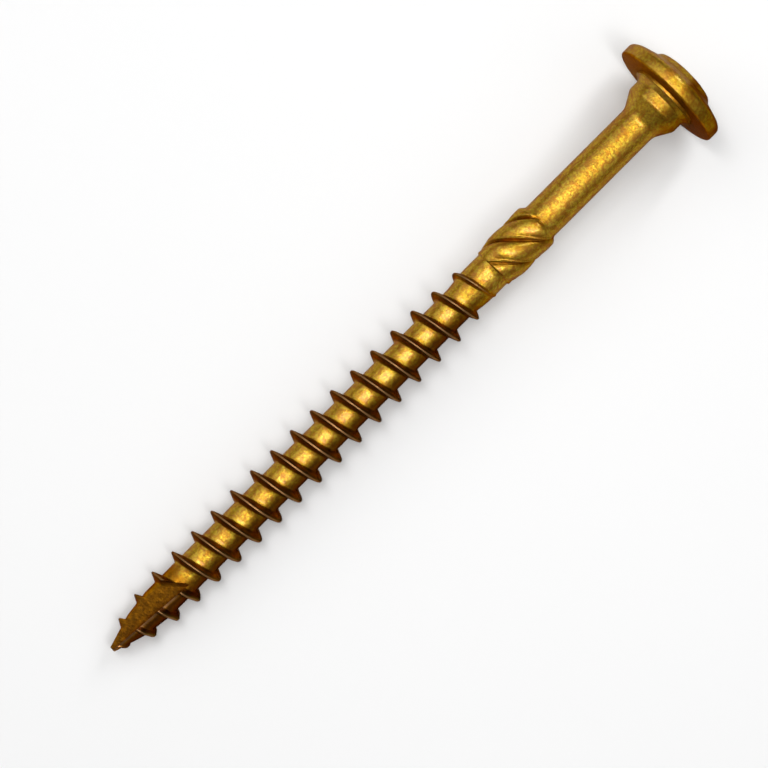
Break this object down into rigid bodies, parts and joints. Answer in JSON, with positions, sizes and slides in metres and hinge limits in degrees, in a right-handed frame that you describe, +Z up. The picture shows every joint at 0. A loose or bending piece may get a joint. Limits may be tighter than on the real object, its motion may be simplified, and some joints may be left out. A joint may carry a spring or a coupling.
{
  "type": "construction screw",
  "caption": "Long timber screw with a coarse thread, a cutting notch at the tip, reamer ribs on the neck and a flanged head with a star recess.",
  "frame": {"origin": "on the ground under the middle of the screw's bounding box, as it lies at rest on its flange and one thread crest", "axes": "+X along the screw towards the head, leaning up by under 3 degrees; +Y across it; +Z up, out of the tip's cutting notch"},
  "size_m": [0.1524, 0.0232, 0.0233],
  "materials": {
    "plated_steel": "yellow zinc plated, satin"
  },
  "bodies": {
    "root": {"construction_screw": "plated_steel"}
  },
  "joints": []
}
